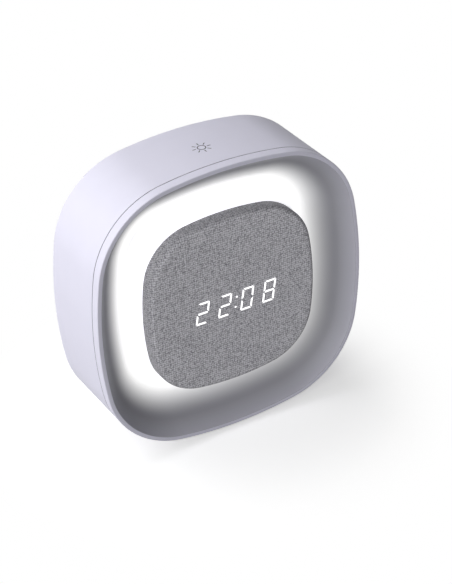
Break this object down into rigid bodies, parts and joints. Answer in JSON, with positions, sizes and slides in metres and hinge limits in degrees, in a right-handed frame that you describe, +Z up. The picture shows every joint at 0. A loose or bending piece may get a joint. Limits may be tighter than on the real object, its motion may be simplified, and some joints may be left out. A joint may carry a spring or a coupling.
{
  "type": "night light alarm clock",
  "caption": "Rounded square desk clock with a light bowl round a floating cloth-covered digital display, a touch field on top and push buttons on the back.",
  "frame": {"origin": "under the middle of the clock, on the surface that its feet stand on", "axes": "+X to the right as seen from the front, +Y backwards through the clock, +Z up"},
  "size_m": [0.13, 0.0448, 0.1312],
  "materials": {
    "shell_plastic": "fine satin moulded plastic, white with a lavender tint",
    "cover_plastic": "fine textured moulded plastic, white with a lavender tint",
    "foot_rubber": "soft matt rubber",
    "screw_steel": "plated steel",
    "display_cloth": "tightly stretched woven cloth of mixed grey yarns",
    "dark_plastic": "matt black moulded plastic",
    "digit_glow": "clear light guide, lit white",
    "board_laminate": "green lacquered circuit board",
    "lamp_resin": "lamp resin",
    "opal_plastic": "opal white light diffuser, lit white",
    "white_plastic": "plain white moulded plastic",
    "chip_plastic": "black moulded resin",
    "socket_steel": "bare stamped steel",
    "button_plastic": "satin moulded plastic, a shade darker than the case",
    "cell_foil": "pouch foil",
    "lead_sleeve": "insulated wire",
    "ribbon_film": "flat film cable",
    "copper_foil": "copper foil on foam",
    "magnet_metal": "plated magnet",
    "cone_paper": "pressed paper cone"
  },
  "bodies": {
    "case": {"alarm_switch_case": "socket_steel", "back_cover": "cover_plastic", "battery_cell": "cell_foil", "battery_leads": "lead_sleeve", "board_components": "chip_plastic", "board_screws": "screw_steel", "carrier": "white_plastic", "carrier_screws": "screw_steel", "controller_chip": "chip_plastic", "cover_screws": "screw_steel", "digit_light_guides": "digit_glow", "digit_reflector": "dark_plastic", "display_back": "shell_plastic", "display_board": "board_laminate", "display_cap": "dark_plastic", "display_fabric": "display_cloth", "display_leds": "lamp_resin", "display_ribbon": "ribbon_film", "display_screws": "screw_steel", "front_shell": "shell_plastic", "housing_ring": "shell_plastic", "left_foot": "foot_rubber", "light_baffle": "white_plastic", "light_header": "chip_plastic", "light_ring_diffuser": "opal_plastic", "main_board": "board_laminate", "right_foot": "foot_rubber", "ring_leds": "lamp_resin", "ring_light_board": "board_laminate", "speaker_basket": "socket_steel", "speaker_leads": "lead_sleeve", "speaker_magnet": "magnet_metal", "stem_screws": "screw_steel", "tact_switches": "chip_plastic", "touch_electrode": "copper_foil", "touch_lead": "lead_sleeve", "usb_socket_shell": "socket_steel", "usb_socket_tongue": "chip_plastic", "wire_connectors": "white_plastic"},
    "time_button": {"time_button": "button_plastic", "time_plunger": "white_plastic"},
    "alarm_button": {"alarm_button": "button_plastic", "alarm_plunger": "white_plastic"},
    "plus_button": {"plus_button": "button_plastic", "plus_plunger": "white_plastic"},
    "minus_button": {"minus_button": "button_plastic", "minus_plunger": "white_plastic"},
    "alarm_switch_knob": {"alarm_switch_knob": "button_plastic"},
    "speaker_cone": {"speaker_cone": "cone_paper"}
  },
  "joints": [
    {"name": "time_button_press", "type": "slide", "parent": "case", "child": "time_button", "axis": [0, -1, 0], "range_m": [0, 0.0005], "stiffness_N_per_m": 3000},
    {"name": "alarm_button_press", "type": "slide", "parent": "case", "child": "alarm_button", "axis": [0, -1, 0], "range_m": [0, 0.0005], "stiffness_N_per_m": 3000},
    {"name": "plus_button_press", "type": "slide", "parent": "case", "child": "plus_button", "axis": [0, -1, 0], "range_m": [0, 0.0005], "stiffness_N_per_m": 3000},
    {"name": "minus_button_press", "type": "slide", "parent": "case", "child": "minus_button", "axis": [0, -1, 0], "range_m": [0, 0.0005], "stiffness_N_per_m": 3000},
    {"name": "alarm_switch_slide", "type": "slide", "parent": "case", "child": "alarm_switch_knob", "axis": [1, 0, 0], "range_m": [0, 0.003]},
    {"name": "speaker_cone_stroke", "type": "slide", "parent": "case", "child": "speaker_cone", "axis": [0, 1, 0], "range_m": [-0.0003, 0.0003], "stiffness_N_per_m": 1500}
  ]
}
